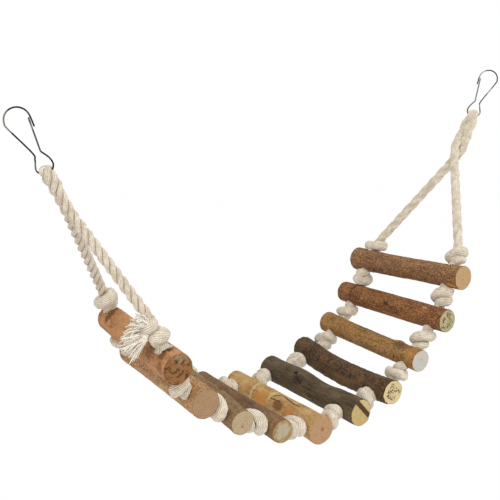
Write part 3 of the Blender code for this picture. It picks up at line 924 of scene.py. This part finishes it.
def endMaterial(look):
    end = look["end"]
    net = Net(look["slot"].replace("_b", "B") + "End")
    dark, middle, light = (tone(*part) for part in end["tones"])
    place = net.node("UVMap", {"uv_map": "endGrain"})
    wave = net.noise(240, 3)
    grain = net.noise(1500, 3, 0.65)
    mottle = net.noise(330, 5, 0.65)
    depth = net.measure("DISTANCE", place, (*end["pith"], 0)) + (wave - 0.5) * 0.22
    fromMiddle = net.measure("LENGTH", place)
    rings = (depth * (2 * math.pi * end["rings"])).math("SINE") * 0.5 + 0.5
    ringed = end.get("ringed", 0.35)
    colour = net.mix(rings.ramp(0.1, 0.9) * ringed + grain * 0.4, middle, light)
    colour = net.mix(rings.ramp(0.75, 1.0) * ringed, colour, dark)
    colour = net.mix(mottle.ramp(0.46, 0.62) * end["mottle"], colour, dark)
    colour = net.mix(grain.ramp(0.58, 0.72) * 0.5, colour, dark)
    if "pale" in end:
        x, y, size = end["pale"]
        off = net.measure("DISTANCE", place, (x, y, 0)) + (mottle - 0.5) * 1.6
        colour = net.mix((1 - off.ramp(size * 0.3, size * 1.3)) * 0.8, colour, light)
    if "edge" in end:
        outer = fromMiddle + (wave - 0.5) * 0.9 + (mottle - 0.5) * 1.1 + (grain - 0.5) * 0.5
        colour = net.mix(outer.ramp(0.55, 0.95), colour, tone(*end["edge"]))
    if "heart" in end:
        heart, size = end["heart"]
        inner = 1 - (depth + (grain - 0.5) * 0.1).ramp(size * 0.6, size * 1.3)
        colour = net.mix(inner, colour, tone(*heart))
    if "rot" in end:
        size, width, rotten = end["rot"]
        ring = 1 - ((depth - size).math("ABSOLUTE") + (wave - 0.5) * 1.2).ramp(0.0, width)
        pits = 1 - net.specks(950).ramp(0.38, 0.60)
        colour = net.mix(ring.ramp(0.2, 0.5) * pits * mottle.ramp(0.37, 0.45), colour, tone(*rotten))
    if "saw" in end:
        turn, offset, width, stained = end["saw"]
        way = (math.cos(math.radians(turn)), math.sin(math.radians(turn)), 0)
        across = net.measure("DOT_PRODUCT", place, way)
        band = 1 - (across - offset).math("ABSOLUTE").ramp(width * 0.85, width)
        colour = net.mix(band, colour, tone(*stained))
        colour = net.mix((across - offset - width).ramp(0.0, 0.03) * 0.6, colour, light)
    rim = (fromMiddle + (wave - 0.5) * 0.06).ramp(0.955, 0.99)
    colour = net.mix(rim, colour, tone(*end["rim"]))
    net.set(Base_Color=colour, Roughness=0.85, Specular_IOR_Level=0.25)
    net.bump(grain + rings * 0.3, 0.0005)
    return net.owner


def holeMaterial():
    net = Net("drilledWood")
    rough = net.noise(900, 4).ramp(0.3, 0.7)
    net.set(Base_Color=net.mix(rough, tone(72, 50, 34), tone(120, 88, 58)), Roughness=0.9)
    return net.owner


drilled = holeMaterial()


def selectParts(kind, parts):  # faces or edges of the active piece, left selected in edit mode
    chosen = [part.index for part in parts]
    bpy.ops.object.mode_set(mode="EDIT")
    bpy.ops.mesh.select_mode(type=kind)
    bpy.ops.mesh.select_all(action="DESELECT")
    bpy.ops.object.mode_set(mode="OBJECT")
    mesh = bpy.context.object.data
    for number in chosen:
        (mesh.polygons if kind == "FACE" else mesh.edges)[number].select = True
    bpy.ops.object.mode_set(mode="EDIT")


# A plain stick of unit radius and half length along Y, with ringed ends, ready to be shaped
def makeStick():
    deselect()
    lying = (math.pi / 2, 0, 0)
    bpy.ops.mesh.primitive_cylinder_add(vertices=rungMesh["sides"], radius=1, depth=2, rotation=lying)
    stick = bpy.context.object
    stick.name = "branchBlank"
    bpy.ops.object.transform_apply(location=False, rotation=True, scale=False)
    selectParts("FACE", [face for face in stick.data.polygons if abs(face.normal.y) > 0.9])
    for thickness in (rungMesh["rim"], *rungMesh["insets"]):
        bpy.ops.mesh.inset(thickness=thickness, use_individual=True)
    bpy.ops.object.mode_set(mode="OBJECT")

    def lengthways(edge):
        start, end = (stick.data.vertices[corner].co.y for corner in edge.vertices)
        return abs(start - end) > 1

    selectParts("EDGE", [edge for edge in stick.data.edges if lengthways(edge)])
    bpy.ops.mesh.subdivide(number_cuts=rungMesh["rings"] - 1)
    bpy.ops.object.mode_set(mode="OBJECT")
    return stick


def branchNoise(points, size, seed):
    return np.array([noise.noise(Vector(point)) for point in points / size + seed])


def wrapped(angle):
    return (angle + math.pi) % (2 * math.pi) - math.pi


def softHill(away, half):  # a smooth hill of this half width
    return np.exp(-((away / half) ** 2) * 1.4)


# Height of the bark in millimetres, and how strong each kind of mark is
def branchSkin(index, along, turn, radius):
    look = barks[index]
    lump, rough, fibre, ringed = look["relief"]
    seed = np.array((17.3, 5.1, 9.7)) * (index + 1)
    ring = np.stack([np.cos(turn) * radius, np.sin(turn) * radius, along], 1)
    height = lump * branchNoise(ring * (1, 1, 0.6), 14, seed)
    height += rough * (branchNoise(ring, 4.2, seed) + 0.6 * branchNoise(ring, 1.9, seed))
    height += fibre * branchNoise(ring * (1, 1, 0.12), 1.8, seed)
    height += ringed * branchNoise(ring * (0.14, 0.14, 1), 1.3, seed)
    paint = {kind: np.zeros(len(along)) for kind in ("tint", "bare", "dark", "pale", "swell")}
    for kind, place, angle, halfLength, halfWidth, strength, rise in look["marks"]:
        across = wrapped(turn - math.radians(angle)) * radius
        hill = softHill(along - place, halfLength) * softHill(across, halfWidth)
        paint[kind] = np.maximum(paint[kind], strength * hill)
        height += rise * hill
    for width, depth, places in look.get("cracks", ()):
        for (a0, t0), (a1, t1) in zip(places, places[1:]):
            start = np.array((a0, math.radians(t0) * 10))
            step = np.array((a1, math.radians(t1) * 10)) - start
            here = np.stack([along, turn % (2 * math.pi) * 10], 1) - start
            share = np.clip(here @ step / (step @ step), 0, 1)
            off = np.linalg.norm(here - share[:, None] * step, axis=1)
            hill = softHill(off, 2 * width)
            paint["dark"] = np.maximum(paint["dark"], hill)
            height -= depth * hill
    return height, paint


def shapeBranch(index, stick):
    centre, axis = branches[index]
    (_, sag, shift, _, extra), end = branchSizes[index], barks[index]["end"]
    branch = stick.copy()
    branch.data = stick.data.copy()
    branch.name = f"branch_rung_{index + 1:02d}"
    bpy.context.scene.collection.objects.link(branch)
    side = Vector((axis.y, -axis.x, 0)).normalized()
    up = side.cross(axis)
    unit = pointsOf(branch)
    share = np.hypot(unit[:, 0], unit[:, 2])
    turn = np.arctan2(unit[:, 2], unit[:, 0])
    front, rear = (halfRung + part / 1000 for part in extra)
    along = np.where(unit[:, 1] < 0, unit[:, 1] * front, unit[:, 1] * rear)
    radius = np.array([branchRadius(index, float(place)) for place in along])
    height, paint = branchSkin(index, (along + halfRung) * 1000, turn, radius * 1000)
    rimWidth, rimDepth = rungMesh["wornRim"]
    height -= softHill((1 - np.abs(unit[:, 1])) * halfRung * 1000, rimWidth) * rimDepth
    reach = share * (radius + height / 1000)
    # saw-cut ends, a little uneven
    onEnd = np.abs(unit[:, 1]) > 0.9999
    cut = 0
    for depth, waves, seed in rungMesh["sawMarks"]:
        cut = cut + depth * branchNoise(unit * (waves, 0, waves), 1.0, index * seed)
    if "saw" in end:
        sawTurn, offset, width, _ = end["saw"]
        depth, slant = rungMesh["sawStep"]
        way = math.radians(sawTurn)
        across = unit[:, 0] * math.cos(way) + unit[:, 2] * math.sin(way)
        cut = cut - depth * np.clip((across - offset + width) / slant, 0, 1) * (unit[:, 1] < 0)
    along = along - np.sign(unit[:, 1]) * onEnd * (rungMesh["endDip"] - cut) / 1000
    drop = sag / 1000 * (along**2 - ropeShape["offset"] ** 2) / halfRung**2
    points = np.array(centre) + np.outer(along + shift / 1000, axis)
    points += np.outer(reach * np.cos(turn), side) + np.outer(reach * np.sin(turn), up)
    points[:, 2] += drop
    setPoints(branch, points)
    colours = np.stack([paint["tint"], paint["bare"], paint["dark"], paint["pale"] + 0.3], 1)
    marks = branch.data.attributes.new("marks", "FLOAT_COLOR", "POINT")
    marks.data.foreach_set("color", colours.astype(np.float32).ravel())
    # end faces carry a flat map in radii, up on the branch being up on the map
    corners = np.empty(len(branch.data.loops), int)
    branch.data.loops.foreach_get("vertex_index", corners)
    chart = branch.data.uv_layers.active or branch.data.uv_layers.new()
    chart.name = "endGrain"
    flat = np.stack([unit[corners, 0], unit[corners, 2]], 1)
    chart.data.foreach_set("uv", flat.astype(np.float32).ravel())
    finishWith(branch, barkMaterial(barks[index]), endMaterial(barks[index]), drilled)
    for face in branch.data.polygons:
        face.material_index = 1 if all(onEnd[list(face.vertices)]) else 0
    return branch


def drillBranch(index, branch):
    hole = rungMesh["hole"]
    for side in sideSign:
        deselect()
        bpy.ops.mesh.primitive_cylinder_add(
            vertices=hole["sides"], radius=hole["radius"], depth=hole["depth"],
            location=holeCentre(index, side), rotation=holeWays[index].to_track_quat("Z", "Y").to_euler(),
        )
        cutter = bpy.context.object
        finishWith(cutter, drilled, drilled, drilled)  # the branch's third material is the drilled wood
        for face in cutter.data.polygons:
            face.material_index = 2
        onlySelect(branch)
        cut = branch.modifiers.new("ropeHole", "BOOLEAN")
        cut.operation = "DIFFERENCE"
        cut.object = cutter
        bpy.ops.object.modifier_apply(modifier=cut.name)
        bpy.data.objects.remove(cutter)


def makeBranches():
    stick = makeStick()
    for index in range(branchCount):
        rung = f"rung_{index + 1:02d}"
        branch = shapeBranch(index, stick)
        drillBranch(index, branch)
        smoothFaces(branch, rungMesh["smooth"])
        dress(branch, rung, barks[index]["slot"], rung)
    bpy.data.objects.remove(stick)


makeBranches()
print("branches shaped")


# Floor, backdrop and light

studio = {
    "floor": {"size": 8, "place": (0.2, 0, -0.45), "white": 0.985},
    "world": 0.75,
    "aim": (0.21, 0, -0.12),
    "lampSize": 0.9,
    "lamps": {"keyLamp": ((-0.5, -0.9, 1.0), 9.0), "fillLamp": ((0.9, -0.8, 0.6), 3.5)},  # place and power
}


def seenWhite(net):  # 1 for rays that see the background, straight or in a reflection
    rays = net.node("LightPath").socket.node.outputs
    names = ("Is Camera Ray", "Is Glossy Ray", "Is Transmission Ray")
    straight, glossy, through = (Val(net, rays[name]) for name in names)
    return straight.math("MAXIMUM", glossy).math("MAXIMUM", through)


def mixIn(net, share, second, output):  # the net's own shader where share is 0, the second where it is 1
    mixed = net.node("MixShader", None, {0: share, 1: Val(net, net.shader.outputs[0]), 2: second})
    net.feed(net.tree.nodes[output].inputs["Surface"], mixed)


def addWorld():
    net = Net("studioWorld", "worlds", "Background")
    bpy.context.scene.world = net.owner
    net.set(Color=(1, 1, 1, 1), Strength=studio["world"])
    white = net.node("Background", None, {"Color": (1, 1, 1, 1), "Strength": 1})
    mixIn(net, seenWhite(net), white, "World Output")


def addFloor():
    deselect()
    bpy.ops.mesh.primitive_plane_add(size=studio["floor"]["size"], location=studio["floor"]["place"])
    floor = bpy.context.object
    floor.name = "paleFloor"
    net = Net("paleFloor")
    net.set(Base_Color=(0.95, 0.95, 0.95, 1), Roughness=0.9)
    glow = net.node("Emission", None, {0: (1, 1, 1, 1), 1: 1.0})
    mixIn(net, seenWhite(net) * studio["floor"]["white"], glow, "Material Output")
    floor.data.materials.append(net.owner)


def addLamp(name, place, power):
    data = bpy.data.lights.new(name, "AREA")
    data.shape = "DISK"
    data.size = studio["lampSize"]
    data.energy = power
    lamp = bpy.data.objects.new(name, data)
    lamp.location = place
    lamp.rotation_euler = (Vector(studio["aim"]) - Vector(place)).to_track_quat("-Z", "Y").to_euler()
    bpy.context.scene.collection.objects.link(lamp)


addWorld()
addFloor()
for name, (place, power) in studio["lamps"].items():
    addLamp(name, place, power)
bpy.context.scene.view_settings.view_transform = "Standard"
print("studio lit")
